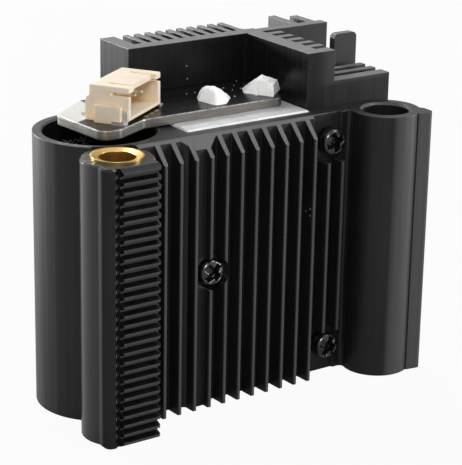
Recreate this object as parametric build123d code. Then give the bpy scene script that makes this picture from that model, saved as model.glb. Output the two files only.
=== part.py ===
from build123d import *
import math
import os

# Focusing laser module that rides on two guide rods: a finned carriage with two tubes, a rack bar with
# brass bushes, a heat sink, and a laser block with its driver board on top.
# Millimetres. The origin is on the first guide rod's axis at the bottom face.
# +X runs along the finned plate to the second guide tube, +Y to the heat sink, +Z up.

# Distance by which cuts pass the faces that they open
cut_over = 1.0

# Carriage extrusion
carriage_height = 47.5
guide_spacing = 54.0
guide_radius = 6.0
guide_bore = 8.0
guide_lead = 0.4
plate_front = 2.5
plate_thickness = 2.5
tube_x = 5.2
tube_y = 14.2
tube_bore = 19.0
tube_wall = 1.6
tube_lead = 0.3
root_fillet = 0.75

# Front fins of the carriage, with one chamfer along their top edge
fin_count = 13
fin_first_x = 9.0
fin_pitch = 3.0
fin_depth = 2.8
fin_tip = 0.75
fin_root = 0.95
fin_round = 0.25
top_chamfer = 3.3
chamfer_margin = 10.2

# Trapezium rib between the fins, beside the middle screw
rib_offset = 1.8
rib_base = 6.8
rib_top = 2.7
rib_height = 1.45

# Squared outer corner of the second guide tube
corner_slope = 0.5
corner_round = 0.9
corner_start = 2.9
ear_start = 2.0
ear_rise = 1.2
ear_inset = 0.65

# Rack bar and its bushes
rack_module = 0.5
rack_angle = 20.0
rack_depth_modules = 2.25
rack_width = 7.05
rack_left = -2.85
rack_tip = -6.65
rack_end_bevel = 0.3
strip_step = 0.95
strip_left = -5.25
strip_back = -2.4
strip_round = 1.1
strip_inner_round = 0.5
notch_width = 0.5
notch_depth = 0.35
bar_chamfer = 0.3
lobe_wall = 1.67
bush_bore = 6.0
bush_wall = 1.33
bush_length = 8.0
bush_stand = 0.4
bush_lead = 0.35
bush_lip = 0.3
bar_relief = 0.6
seat_wall = 0.8
seat_clearance = 0.05

# Laser block, its bottom cover and the thermal pad behind it
block_width = 24.8
block_depth = 19.0
block_stand = 0.3
block_gap = 0.2
block_chamfer = 0.3
cover_thickness = 2.5
pad_thickness = 0.3
pad_inset = 0.6

# Heat sink extrusion
sink_rise = 9.9
sink_left_gap = 0.4
sink_right_x = 59.4
wall_thickness = 2.65
wall_thinning = 0.65
front_plate = 2.35
web_thickness = 3.25
arm_fin_count = 5
arm_fin = 1.4
back_fin_reach = 6.7
end_fin = 2.8
first_groove = 1.8
back_fin_count = 10
back_fin_pitch = 2.22
back_fin = 1.0
last_fin_fillet = 1.3
corner_fin = 1.4
corner_fin_x = 6.5
short_fin = 1.6
short_fin_x = 3.0
short_fin_cut = 1.9

# Milled step in the heat sink's arm, which leaves one tab standing
step_depth = 5.4
stub_reach = 3.0
stub_front_cut = 0.5
tab_fin = 2
tab_width = 4.9
tab_round = 0.9

# Plate screws
screw_shank = 2.5
screw_hole = 2.8
screw_head = 4.6
screw_head_height = 1.7
screw_head_bevel = 0.6
screw_length = 5.8
screw_from_top = 4.8
screw_from_bottom = 5.25
screw_edge = 2.2
screw_in_web = 2.3
recess_span = 3.6
recess_slot = 1.0
recess_depth = 0.9
pocket_clearance = 0.6
relief_clearance = 0.9
relief_depth = 0.4
relief_right_gap = 1.7

# Driver board
board_thickness = 1.6
board_left = 1.2
board_front = 6.5
board_step_x = 4.6
board_edge_x = 10.9
board_edge = 9.6
board_right_gap = 1.9
board_back_gap = 0.5
board_corner = 1.5
board_front_corner = 1.8
board_bend = 2.0
board_tail_x = 0.0
board_tail_y = 19.4
board_slant_x = 8.0
board_slant_y = 25.3
board_heel_x = 14.6

# Side-entry connector, turned on the board
socket_x = 7.0
socket_y = 8.05
socket_turn = 33.5
socket_width = 12.5
socket_depth = 7.8
socket_height = 6.0
socket_wall = 0.9
socket_floor = 1.0
socket_roof = 0.95
socket_back = 2.0
socket_heel = 0.75
socket_heel_top = 4.3
socket_heel_foot = 3.5
socket_lift = 0.5
socket_lift_depth = 3.6
rail_width = 1.9
rail_groove = 0.6
rail_groove_depth = 0.7
rail_length = 4.6
tongue_setback = 0.7
rail_slot = 0.6
rail_slot_length = 3.3
wing_from = 0.9
wing_length = 4.8
wing_height = 2.9
wing_reach = 1.0
wing_round = 0.45
pin_count = 4
pin_pitch = 2.5
pin_size = 0.5
pin_z = 3.0
pin_reach = 3.6
pin_out = 0.9
pin_foot = 0.9
tab_metal = 0.3
tab_metal_from = 0.1
tab_metal_length = 0.7
tab_metal_height = 2.2
tab_foot_length = 2.4
tab_foot_reach = 1.3
tab_clearance = 0.15

# Laser diodes, their optics and the sealant over their leads
diode_first_x = 10.4
diode_pitch = 9.6
diode_setback = 8.2
diode_depth = 9.0
diode_flange = 5.6
diode_flange_thickness = 1.2
diode_cap = 3.6
diode_cap_height = 2.3
diode_window = 1.8
diode_window_depth = 1.15
diode_fit = 0.05
shoulder_bore = 4.0
shoulder_thickness = 2.0
lead_diameter = 0.45
lead_circle = 2.0
lead_count = 3
lead_hole = 0.8
clamp_bore = 3.4
clamp_height = 2.0
barrel_diameter = 6.0
barrel_length = 8.0
barrel_gap = 1.8
barrel_bore = 4.0
lens_diameter = 4.8
lens_edge = 1.0
lens_crown = 0.7
lens_recess = 2.2
optic_size = 7.0
optic_headroom = 3.0
optic_margin = 0.3
window_diameter = 8.8
window_thickness = 1.0
window_ring_height = 0.6
window_ring_bore = 6.8
aperture = 6.0
cover_screw_inset = 2.6
cover_screw_shank = 2.0
cover_screw_head = 3.6
cover_screw_head_height = 1.2
cover_screw_length = 6.0
bead_width = 5.4
bead_crown = 2.1
bead_edge = 0.7
bead_fullness = 0.7
bead_shift = 0.35

# Values that follow from the sizes above
plate_back = plate_front + plate_thickness
fin_tip_y = plate_front - fin_depth
tube_radius = tube_bore / 2 + tube_wall
bush_radius = bush_bore / 2 + bush_wall
lobe_radius = bush_radius + lobe_wall
rack_pitch = math.pi * rack_module
rack_teeth = math.floor(carriage_height / rack_pitch)
bar_height = rack_teeth * rack_pitch
bush_top = bar_height + bush_stand
rack_root = rack_tip + rack_depth_modules * rack_module
strip_front = rack_tip + strip_step
seat_radius = tube_bore / 2 + seat_wall
seat_y = guide_radius
shoulder_right = tube_x + tube_radius
block_left = shoulder_right + block_gap
block_right = block_left + block_width
block_front = plate_back
block_back = block_front + block_depth
block_top = carriage_height + block_stand
wall_front = block_back + pad_thickness
wall_back = wall_front + wall_thickness
web_left = block_right + block_gap
web_right = web_left + web_thickness
screw_right_x = web_left + screw_in_web
screw_left_x = block_left + screw_edge
screw_top_z = carriage_height - screw_from_top
screw_mid_z = (screw_top_z + screw_from_bottom) / 2
sink_left = block_left + sink_left_gap
arm_front_back = seat_y + front_plate
arm_slot = (wall_front - arm_front_back - arm_fin_count * arm_fin) / (arm_fin_count + 1)
sink_height = carriage_height + sink_rise
step_z = sink_height - step_depth
board_bottom = block_top
board_top = board_bottom + board_thickness
diode_y = block_front + diode_setback
diode_xs = [block_left + diode_first_x + i * diode_pitch for i in range(2)]
diode_seat = block_top - diode_depth
flange_top = diode_seat + diode_flange_thickness
shoulder_bottom = diode_seat - shoulder_thickness
barrel_top = shoulder_bottom - barrel_gap
barrel_bottom = barrel_top - barrel_length
chamber_top = cover_thickness + optic_size + optic_headroom


# Shape helpers
def outline(points):
    """Face bounded by straight lines through the points."""
    return make_face(Polyline(*points, close=True))


def rect(x0, x1, y0, y1):
    """Rectangular face between two corners."""
    return Pos((x0 + x1) / 2, (y0 + y1) / 2) * Rectangle(x1 - x0, y1 - y0)


def disc(x, y, radius):
    """Round face."""
    return Pos(x, y) * Circle(radius)


def prism(face, z0, z1):
    """Upright extrusion of a face between two heights."""
    return Pos(0, 0, z0) * extrude(face, amount=z1 - z0)


def block(x0, x1, y0, y1, z0, z1):
    """Box between two corners."""
    return prism(rect(x0, x1, y0, y1), z0, z1)


def drum(x, y, radius, z0, z1):
    """Upright cylinder between two heights."""
    return prism(disc(x, y, radius), z0, z1)


def drill(x, z, radius, y0, y1):
    """Cylinder along Y between two depths."""
    return Pos(x, y0, z) * extrude(Plane.XZ * Circle(radius), amount=y0 - y1)


def spin(profile, x=0.0, y=0.0):
    """Solid turned about an upright axis from (radius, height) points."""
    face = Plane.XZ * outline(profile)
    return Pos(x, y, 0) * revolve(face, axis=Axis.Z)


def ring(x, y, outer, inner, z0, z1):
    """Upright tube between two heights."""
    return prism(disc(x, y, outer) - disc(x, y, inner), z0, z1)


def mouth_chamfer(x, y, radius, size, z):
    """Cone that breaks the edge of a bore whose mouth is at the top, at height z."""
    return spin([(0, z), (radius + size, z), (radius, z - size), (0, z - size)], x, y)


def crowned(radius, rise, base):
    """Round solid with a spherical crown above z = 0 and a straight base below it."""
    sphere = (radius ** 2 + rise ** 2) / (2 * rise)
    half_turn = math.asin(min(radius / sphere, 1.0)) / 2
    middle = (sphere * math.sin(half_turn), rise - sphere * (1 - math.cos(half_turn)))
    crown = ThreePointArc((radius, 0), middle, (0, rise))
    sides = Polyline((0, rise), (0, -base), (radius, -base), (radius, 0))
    return revolve(Plane.XZ * make_face(crown + sides), axis=Axis.Z)


# Carriage
def lobe_seat(clearance):
    """Outline of the rack bar's round back that the carriage leaves free, short of the tube's bore wall."""
    return disc(0, 0, lobe_radius + clearance) - disc(tube_x, tube_y, seat_radius)


def front_fin(index):
    """Tapered fin of the carriage with a rounded tip."""
    x = fin_first_x + index * fin_pitch
    root = fin_root / 2
    tip = fin_tip / 2
    inner = plate_front + plate_thickness / 2
    face = outline([(x - tip, fin_tip_y), (x + tip, fin_tip_y), (x + root, plate_front),
                    (x + root, inner), (x - root, inner), (x - root, plate_front)])
    return fillet(face.vertices().sort_by(Axis.Y)[:2], fin_round)


def screw_rib():
    """Trapezium rib that stiffens the plate beside the middle screw."""
    x = screw_left_x - rib_offset
    front = plate_front - rib_height
    inner = plate_front + plate_thickness / 2
    return outline([(x - rib_base / 2, plate_front), (x - rib_top / 2, front), (x + rib_top / 2, front),
                    (x + rib_base / 2, plate_front), (x + rib_base / 2, inner), (x - rib_base / 2, inner)])


def tube_corner():
    """Squared ear that stands out between the second guide tube's right and front tangents."""
    right = guide_spacing + guide_radius
    front = -guide_radius
    face = outline([(guide_spacing, 0), (right - ear_inset, -ear_start), (right, -ear_start - ear_rise),
                    (right, front), (guide_spacing + corner_start, front + corner_slope)])
    tip = face.vertices().sort_by_distance((right, front, 0))[0]
    return fillet(tip, corner_round)


def plate_root():
    """Concave fillet between the plate's front face and the second guide tube."""
    centre_y = plate_front - root_fillet
    reach = math.sqrt((guide_radius + root_fillet) ** 2 - centre_y ** 2)
    centre_x = guide_spacing - reach
    fill = rect(centre_x, guide_spacing, centre_y, plate_front + root_fillet)
    return fill - disc(centre_x, centre_y, root_fillet)


def carriage_profile():
    """Cross-section of the carriage extrusion."""
    profile = rect(tube_x, guide_spacing, plate_front, plate_back)
    profile += rect(tube_x, shoulder_right, plate_front, tube_y)
    profile += rect(web_left, guide_spacing, plate_front, seat_y)
    profile += disc(tube_x, tube_y, tube_radius)
    profile += disc(guide_spacing, 0, guide_radius)
    profile += tube_corner()
    profile += plate_root()
    profile += screw_rib()
    for index in range(fin_count):
        profile += front_fin(index)
    profile -= disc(tube_x, tube_y, tube_bore / 2)
    profile -= disc(guide_spacing, 0, guide_bore / 2)
    return profile - lobe_seat(seat_clearance)


def top_bevel():
    """Wedge cut off the top front edge of the plate and its fins."""
    low = carriage_height - top_chamfer
    back = fin_tip_y + top_chamfer
    front = fin_tip_y - cut_over
    over = carriage_height + cut_over
    wedge = outline([(front, low - cut_over), (back + cut_over, over), (front, over)])
    length = guide_spacing - chamfer_margin
    return extrude(Plane.YZ * wedge, amount=length)


def carriage():
    """Extruded carriage, bevelled and cut for its screws."""
    body = prism(carriage_profile(), 0, carriage_height) - top_bevel()
    front = fin_tip_y - cut_over
    relief = screw_head / 2 + relief_clearance
    relief_left = screw_right_x - relief
    relief_right = guide_spacing - guide_radius - relief_right_gap
    relief_back = plate_front + relief_depth
    for z0, z1 in ((0, screw_from_bottom + relief), (screw_top_z - relief, carriage_height)):
        body -= block(relief_left, relief_right, front, relief_back, z0, z1)
    pocket = screw_head / 2 + pocket_clearance
    body -= drill(screw_left_x, screw_mid_z, pocket, front, plate_front)
    for x, z in screw_places():
        body -= drill(x, z, screw_hole / 2, front, seat_y)
    body -= mouth_chamfer(tube_x, tube_y, tube_bore / 2, tube_lead, carriage_height)
    body -= mouth_chamfer(guide_spacing, 0, guide_bore / 2, guide_lead, carriage_height)
    return body


# Rack bar and bushes
def bush_housing():
    """Round housing of the bushes, with a broken top edge."""
    body = drum(0, 0, lobe_radius, 0, bar_height)
    return chamfer(body.edges().sort_by(Axis.Z)[-1], bar_chamfer)


def plain_strip():
    """Smooth strip left of the teeth, with rounded front corners and a broken top edge."""
    face = rect(strip_left, rack_left - notch_width, strip_front, strip_back)
    face = fillet(face.vertices().group_by(Axis.X)[0].sort_by(Axis.Y)[0], strip_round)
    face = fillet(face.vertices().group_by(Axis.X)[-1].sort_by(Axis.Y)[0], strip_inner_round)
    body = prism(face, 0, bar_height)
    rim = body.faces().sort_by(Axis.Z)[-1].edges()
    outer = rim.sort_by(Axis.Y)[:-1].sort_by(Axis.X)[:-1]
    return chamfer(outer, bar_chamfer)


def rack_teeth_solid():
    """Straight rack teeth across the toothed strip, bevelled at their outer ends."""
    depth = rack_root - rack_tip
    slope = depth * math.tan(math.radians(rack_angle))
    tip = rack_pitch / 2 - slope
    inner = rack_root + depth
    points = [(inner, 0)]
    for index in range(rack_teeth):
        middle = (index + 0.5) * rack_pitch
        points += [(rack_root, middle - tip / 2 - slope), (rack_tip, middle - tip / 2),
                   (rack_tip, middle + tip / 2), (rack_root, middle + tip / 2 + slope)]
    points.append((inner, bar_height))
    teeth = Pos(rack_left, 0, 0) * extrude(Plane.YZ * outline(points), amount=rack_width)
    plan = rect(rack_left, rack_left + rack_width, rack_tip, inner)
    plan = chamfer(plan.vertices().group_by(Axis.X)[-1].sort_by(Axis.Y)[0], rack_end_bevel)
    return teeth & prism(plan, 0, bar_height)


def rack_bar():
    """Rack bar with a bush seat at each end of its bore and a flat root behind its teeth."""
    rack_right = rack_left + rack_width
    gaps = block(rack_left, rack_right, -lobe_radius, rack_root, 0, bar_height)
    body = bush_housing() - gaps + plain_strip()
    notch_left = rack_left - notch_width - strip_inner_round
    body += block(notch_left, rack_left, strip_front + notch_depth, strip_back, 0, bar_height)
    body += block(rack_left, rack_right, rack_root, strip_back, 0, bar_height)
    body += rack_teeth_solid()
    body -= drum(tube_x, tube_y, seat_radius + seat_clearance, 0, bar_height)
    body -= drum(0, 0, bush_bore / 2 + bar_relief, 0, bar_height)
    body -= drum(0, 0, bush_radius, 0, bush_length)
    return body - drum(0, 0, bush_radius, bush_top - bush_length, bar_height)


def upper_bush():
    """Brass sleeve with a wide, shallow lead-in at its top."""
    sleeve = ring(0, 0, bush_radius, bush_bore / 2, bush_top - bush_length, bush_top)
    low = bush_top - bush_lead
    cone = [(0, low), (bush_bore / 2, low), (bush_radius - bush_lip, bush_top), (0, bush_top)]
    return sleeve - spin(cone)


def lower_bush():
    """Brass sleeve at the bottom of the bar."""
    return ring(0, 0, bush_radius, bush_bore / 2, 0, bush_length)


# Heat sink
def arm_fin_y(index):
    """Front face of one of the arm's fins."""
    return arm_front_back + arm_slot + index * (arm_fin + arm_slot)


def sink_profile():
    """Cross-section of the heat sink extrusion."""
    fin_end = wall_back + back_fin_reach
    thin_back = wall_back - wall_thinning
    profile = rect(sink_left, web_right, wall_front, wall_back)
    profile += rect(web_left, sink_right_x, wall_front, thin_back)
    profile += rect(web_left, web_right, seat_y, wall_front)
    profile += rect(web_left, sink_right_x, seat_y, arm_front_back)
    for index in range(arm_fin_count):
        y = arm_fin_y(index)
        profile += rect(web_left, sink_right_x, y, y + arm_fin)
    profile += rect(sink_left, sink_left + end_fin, wall_front, fin_end)
    first = sink_left + end_fin + first_groove
    for index in range(back_fin_count):
        x = first + index * back_fin_pitch
        profile += rect(x, x + back_fin, wall_front, fin_end)
    last = first + (back_fin_count - 1) * back_fin_pitch + back_fin
    corner = rect(last, last + last_fin_fillet, wall_back, wall_back + last_fin_fillet)
    profile += corner - disc(last + last_fin_fillet, wall_back + last_fin_fillet, last_fin_fillet)
    for offset, width, cut in ((corner_fin_x, corner_fin, 0), (short_fin_x, short_fin, short_fin_cut)):
        x = sink_right_x - offset
        profile += rect(x, x + width, wall_front, fin_end - cut)
    return profile


def heat_sink():
    """Heat sink with its arm milled down to a step, apart from one tab."""
    body = prism(sink_profile(), 0, sink_height)
    stub = web_right + stub_reach
    front = stub - stub_front_cut
    right = sink_right_x + cut_over
    over = sink_height + cut_over
    step = block(stub, right, arm_front_back, wall_front, step_z, over)
    step += block(front, right, seat_y - cut_over, arm_front_back, step_z, over)
    tab_y = arm_fin_y(tab_fin)
    tab = Plane.XZ * (Pos(sink_right_x - tab_width / 2, (step_z + sink_height) / 2)
                      * Rectangle(tab_width, step_depth))
    tab = fillet(tab.vertices().group_by(Axis.Z)[-1], tab_round)
    tab = Pos(0, tab_y, 0) * extrude(tab, amount=-arm_fin)
    body = body - step + tab
    for x, z in screw_places():
        if x > web_left:
            body -= drill(x, z, screw_shank / 2, seat_y, screw_seat(x) + screw_length)
    return body


# Plate screws
def screw_places():
    """Centres of the plate screws, as (x, z): one into the laser block, two into the heat sink."""
    return [(screw_left_x, screw_mid_z), (screw_right_x, screw_top_z), (screw_right_x, screw_from_bottom)]


def screw_seat(x):
    """Face that a screw's head rests on: the relief's floor over the web, otherwise the plate."""
    return plate_front + relief_depth if x > web_left else plate_front


def pan_screw():
    """Pan-head screw with a cross recess, head up, seated at z = 0."""
    top = drum(0, 0, screw_head / 2, 0, screw_head_height)
    top = chamfer(top.edges().sort_by(Axis.Z)[-1], screw_head_bevel)
    for turn in (0, 90):
        slot = Rot(0, 0, turn) * rect(-recess_span / 2, recess_span / 2, -recess_slot / 2, recess_slot / 2)
        top -= prism(slot, screw_head_height - recess_depth, screw_head_height)
    return top + drum(0, 0, screw_shank / 2, -screw_length, 0)


def plate_screws():
    """The three screws that hold the laser block and the heat sink to the carriage."""
    screw = pan_screw()
    return Compound([Pos(x, screw_seat(x), z) * Rot(90, 0, 0) * screw for x, z in screw_places()])


# Laser block, cover and pad
def chamber():
    """Outline of the space in the block that holds the combining optics."""
    half = optic_size / 2 + optic_margin
    return rect(diode_xs[0] - half, diode_xs[1] + half, diode_y - half, diode_y + half)


def cover_screw_places():
    """Corner screws of the block's bottom cover."""
    xs = (block_left + cover_screw_inset, block_right - cover_screw_inset)
    ys = (block_front + cover_screw_inset, block_back - cover_screw_inset)
    return [(x, y) for x in xs for y in ys]


def laser_block():
    """Metal block bored for the two diodes and their lens barrels."""
    body = block(block_left, block_right, block_front, block_back, cover_thickness, block_top)
    body = chamfer(body.faces().sort_by(Axis.Z)[-1].edges(), block_chamfer)
    for x in diode_xs:
        body -= drum(x, diode_y, diode_flange / 2 + diode_fit, diode_seat, block_top)
        body -= drum(x, diode_y, shoulder_bore / 2, shoulder_bottom, diode_seat)
        body -= drum(x, diode_y, barrel_diameter / 2 + diode_fit, chamber_top, shoulder_bottom)
    body -= prism(chamber(), cover_thickness, chamber_top)
    for x, y in cover_screw_places():
        depth = cover_screw_head_height + cover_screw_length
        body -= drum(x, y, cover_screw_shank / 2, cover_thickness, depth)
    return body - drill(screw_left_x, screw_mid_z, screw_shank / 2, block_front, plate_front + screw_length)


def optics_cover():
    """Bottom cover of the block with the stepped seat of the exit window."""
    body = block(block_left, block_right, block_front, block_back, 0, cover_thickness)
    x = diode_xs[0]
    body -= drum(x, diode_y, aperture / 2, 0, cover_thickness)
    body -= drum(x, diode_y, window_diameter / 2 + diode_fit, 0, window_ring_height + window_thickness)
    for px, py in cover_screw_places():
        body -= drum(px, py, cover_screw_shank / 2, 0, cover_thickness)
        body -= drum(px, py, cover_screw_head / 2, 0, cover_screw_head_height)
    return body


def cover_screws():
    """Four sunk screws of the bottom cover."""
    screw = drum(0, 0, cover_screw_head / 2, 0, cover_screw_head_height)
    screw += drum(0, 0, cover_screw_shank / 2, cover_screw_head_height,
                  cover_screw_head_height + cover_screw_length)
    return Compound([Pos(x, y, 0) * screw for x, y in cover_screw_places()])


def thermal_pad():
    """Heat-conducting pad between the block and the heat sink's wall."""
    return block(sink_left + pad_inset, block_right - pad_inset, block_back, wall_front,
                 pad_inset, carriage_height - pad_inset)


# Optics
def laser_diode(x):
    """Diode can: flange on the block's shoulder, cap pointing down, with a window hole in the cap."""
    bottom = diode_seat - diode_cap_height
    can = drum(x, diode_y, diode_flange / 2, diode_seat, flange_top)
    can += drum(x, diode_y, diode_cap / 2, bottom, diode_seat)
    return can - drum(x, diode_y, diode_window / 2, bottom, bottom + diode_window_depth)


def lead_places():
    """Centres of every diode lead."""
    turns = [math.radians(90 + 360 * i / lead_count) for i in range(lead_count)]
    radius = lead_circle / 2
    return [(x + radius * math.cos(t), diode_y + radius * math.sin(t)) for x in diode_xs for t in turns]


def diode_leads():
    """Wire leads from the diodes up through the board."""
    return Compound([drum(x, y, lead_diameter / 2, flange_top, board_top) for x, y in lead_places()])


def clamp_rings():
    """Threaded rings that press the diodes on their shoulders."""
    outer = diode_flange / 2 + diode_fit
    return Compound([ring(x, diode_y, outer, clamp_bore / 2, flange_top, flange_top + clamp_height)
                     for x in diode_xs])


def lens_barrel(x):
    """Brass barrel under a diode, recessed at its lower end for the lens."""
    barrel = ring(x, diode_y, barrel_diameter / 2 + diode_fit, barrel_bore / 2, barrel_bottom, barrel_top)
    return barrel - drum(x, diode_y, lens_diameter / 2, barrel_bottom, barrel_bottom + lens_recess)


def collimating_lens(x):
    """Plano-convex lens with its flat side against the barrel's seat."""
    lens = Rot(180, 0, 0) * crowned(lens_diameter / 2, lens_crown, lens_edge)
    return Pos(x, diode_y, barrel_bottom + lens_recess - lens_edge) * lens


def fold_prism():
    """Right-angle prism that turns the second beam towards the first."""
    half = optic_size / 2
    low = cover_thickness
    x = diode_xs[1]
    face = outline([(x - half, low), (x + half, low), (x + half, low + optic_size)])
    return Pos(0, diode_y + half, 0) * extrude(Plane.XZ * face, amount=optic_size)


def combining_cube():
    """Beam-combining cube over the exit window."""
    half = optic_size / 2
    x = diode_xs[0]
    return block(x - half, x + half, diode_y - half, diode_y + half,
                 cover_thickness, cover_thickness + optic_size)


def exit_window():
    """Glass window in the bottom cover."""
    return drum(diode_xs[0], diode_y, window_diameter / 2, window_ring_height,
                window_ring_height + window_thickness)


def window_ring():
    """Threaded ring that holds the exit window."""
    outer = window_diameter / 2 + diode_fit
    return ring(diode_xs[0], diode_y, outer, window_ring_bore / 2, 0, window_ring_height)


# Board and sealant
def circuit_board():
    """Metal-core driver board: stepped front edge, and a slanted end that follows the turned socket."""
    right = block_right - board_right_gap
    back = wall_front - board_back_gap
    tail = (board_tail_x, board_tail_y)
    nose = (board_left, board_front)
    bends = [(board_step_x, board_front), (board_edge_x, board_edge)]
    ends = [(right, board_edge), (right, back)]
    heel = [(board_heel_x, back), (board_heel_x - (board_slant_y - back), board_slant_y)]
    slant = (board_slant_x, board_slant_y)
    face = outline([tail, nose] + bends + ends + heel + [slant])
    rounds = [([nose], board_front_corner), ([tail] + ends, board_corner), (bends, board_bend)]
    for points, radius in rounds:
        for x, y in points:
            near = face.vertices().sort_by_distance((x, y, 0))[0]
            face = fillet(near, radius)
    board = prism(face, board_bottom, board_top)
    for x, y in lead_places():
        board -= drum(x, y, lead_hole / 2, board_bottom, board_top)
    return board


def sealant_bead(x):
    """Bead of sealant over one diode's soldered leads: an upright edge under a shallow peaked crown."""
    half = bead_width / 2
    edge = board_top + bead_edge
    top = edge + bead_crown
    shoulder = edge + bead_crown * bead_fullness
    profile = [(0, board_top), (half, board_top), (half, edge), (half * bead_fullness, shoulder), (0, top)]
    return spin(profile, x + bead_shift, diode_y)


# Connector, drawn with its mouth along X at y = 0 and set on the board
def on_board(shape):
    """Move a connector piece from its own frame to its place on the board."""
    return Pos(socket_x, socket_y, board_top) * Rot(0, 0, socket_turn) * shape


def socket_side():
    """Side profile of the connector housing, as a face in the YZ plane: the heel steps out at the back."""
    back = socket_depth - socket_heel
    return Plane.YZ * outline([(0, 0), (socket_depth, 0), (socket_depth, socket_heel_foot),
                               (back, socket_heel_top), (back, socket_height), (0, socket_height)])


def socket_wing():
    """Boss on the socket's left wall: rounded towards the mouth and cut out over the solder tab's foot."""
    plan = rect(-wing_reach, 0, wing_from, wing_from + wing_length)
    plan = fillet(plan.vertices().sort_by_distance((-wing_reach, wing_from, 0))[0], wing_round)
    foot_end = tab_metal_from + tab_foot_length + tab_clearance
    foot_room = block(-wing_reach, 0, wing_from, foot_end, 0, tab_metal + tab_clearance)
    return prism(plan, 0, wing_height) - foot_room


def connector_housing():
    """Moulded housing with an open mouth, slotted rails and side wings."""
    body = extrude(socket_side(), amount=socket_width)
    cavity_top = socket_height - socket_roof
    cavity_back = socket_depth - socket_back
    body -= block(socket_wall, socket_width - socket_wall, 0, cavity_back, socket_floor, cavity_top)
    body -= block(0, socket_width, 0, socket_lift_depth, 0, socket_lift)
    slot_low = cavity_top - rail_slot
    body -= block(0, socket_width, 0, rail_slot_length, slot_low, cavity_top)
    for x in (rail_width, socket_width - rail_width - rail_groove):
        body -= block(x, x + rail_groove, 0, rail_length, socket_height - rail_groove_depth, socket_height)
    body -= block(rail_width, socket_width - rail_width, 0, tongue_setback, cavity_top, socket_height)
    body += socket_wing()
    body += Pos(socket_width, 0, 0) * mirror(socket_wing(), about=Plane.YZ)
    for x, y0, y1 in pin_spans():
        half = pin_size / 2
        body -= block(x - half, x + half, y0, y1, pin_z - half, pin_z + half)
    return on_board(body)


def pin_spans():
    """Each pin's x with the depths where it starts in the mouth and leaves the back."""
    first = (socket_width - (pin_count - 1) * pin_pitch) / 2
    start = socket_depth - socket_back - pin_reach
    return [(first + i * pin_pitch, start, socket_depth) for i in range(pin_count)]


def connector_pins():
    """Bent contact pins: straight in the mouth, down behind the housing, and a foot on the board."""
    half = pin_size / 2
    pins = []
    for x, start, back in pin_spans():
        out = back + pin_out
        side = outline([(start, pin_z - half), (out - pin_size, pin_z - half), (out - pin_size, 0),
                        (out + pin_foot, 0), (out + pin_foot, pin_size), (out, pin_size),
                        (out, pin_z + half), (start, pin_z + half)])
        pins.append(on_board(Pos(x - half, 0, 0) * extrude(Plane.YZ * side, amount=pin_size)))
    return Compound(pins)


def connector_tabs():
    """Solder tabs beside the mouth: a leaf against the wall and a foot on the board under the wing."""
    leaf_end = tab_metal_from + tab_metal_length
    tab = block(-tab_metal, 0, tab_metal_from, leaf_end, 0, tab_metal_height)
    tab += block(-tab_foot_reach, 0, tab_metal_from, tab_metal_from + tab_foot_length, 0, tab_metal)
    other = Pos(socket_width, 0, 0) * mirror(tab, about=Plane.YZ)
    return Compound([on_board(tab), on_board(other)])


def module_parts():
    """Every piece of the module by name."""
    parts = {
        "carriage": carriage(),
        "heat_sink": heat_sink(),
        "rack_bar": rack_bar(),
        "upper_bush": upper_bush(),
        "lower_bush": lower_bush(),
        "plate_screws": plate_screws(),
        "laser_block": laser_block(),
        "optics_cover": optics_cover(),
        "cover_screws": cover_screws(),
        "thermal_pad": thermal_pad(),
        "diode_leads": diode_leads(),
        "clamp_rings": clamp_rings(),
        "fold_prism": fold_prism(),
        "combining_cube": combining_cube(),
        "exit_window": exit_window(),
        "window_ring": window_ring(),
        "circuit_board": circuit_board(),
        "connector_housing": connector_housing(),
        "connector_pins": connector_pins(),
        "connector_tabs": connector_tabs(),
    }
    for side, x in zip(("left", "right"), diode_xs):
        parts["laser_diode_" + side] = laser_diode(x)
        parts["lens_barrel_" + side] = lens_barrel(x)
        parts["collimating_lens_" + side] = collimating_lens(x)
        parts["sealant_bead_" + side] = sealant_bead(x)
    return parts


os.makedirs("parts", exist_ok=True)
for name, shape in module_parts().items():
    export_step(shape, "parts/" + name + ".step")
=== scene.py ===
"""Looks of a finned laser module around its CAD frame: finishes, small pieces, studio and camera.

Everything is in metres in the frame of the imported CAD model. Sizes in the classes are in millimetres.
"""

import logging
import math
import random
from dataclasses import dataclass
from enum import Enum
from typing import Any, Optional, Sequence, Union

import bmesh
import bpy
from mathutils import Matrix, Vector, noise


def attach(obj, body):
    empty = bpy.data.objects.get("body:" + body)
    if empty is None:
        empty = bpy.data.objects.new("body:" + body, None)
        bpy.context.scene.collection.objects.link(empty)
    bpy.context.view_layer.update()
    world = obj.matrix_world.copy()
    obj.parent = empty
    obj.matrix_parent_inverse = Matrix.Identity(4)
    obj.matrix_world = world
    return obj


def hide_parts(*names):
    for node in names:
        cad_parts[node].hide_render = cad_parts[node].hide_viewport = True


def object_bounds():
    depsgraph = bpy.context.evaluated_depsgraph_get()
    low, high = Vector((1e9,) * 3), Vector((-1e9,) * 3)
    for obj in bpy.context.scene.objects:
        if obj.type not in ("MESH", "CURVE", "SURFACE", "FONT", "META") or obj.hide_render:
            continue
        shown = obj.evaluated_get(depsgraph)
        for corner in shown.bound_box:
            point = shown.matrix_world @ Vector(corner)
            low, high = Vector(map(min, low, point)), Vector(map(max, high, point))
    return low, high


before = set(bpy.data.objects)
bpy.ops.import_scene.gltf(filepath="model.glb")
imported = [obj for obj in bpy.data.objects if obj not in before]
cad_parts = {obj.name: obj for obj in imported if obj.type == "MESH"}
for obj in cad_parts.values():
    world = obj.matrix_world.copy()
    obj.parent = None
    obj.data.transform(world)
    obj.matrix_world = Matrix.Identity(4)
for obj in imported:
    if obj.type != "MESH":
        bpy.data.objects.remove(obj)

CAD_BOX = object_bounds()

Number = Union[float, "Term"]
Colour = tuple[float, float, float]
Point = tuple[float, float, float]
Span = tuple[float, float]
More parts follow.
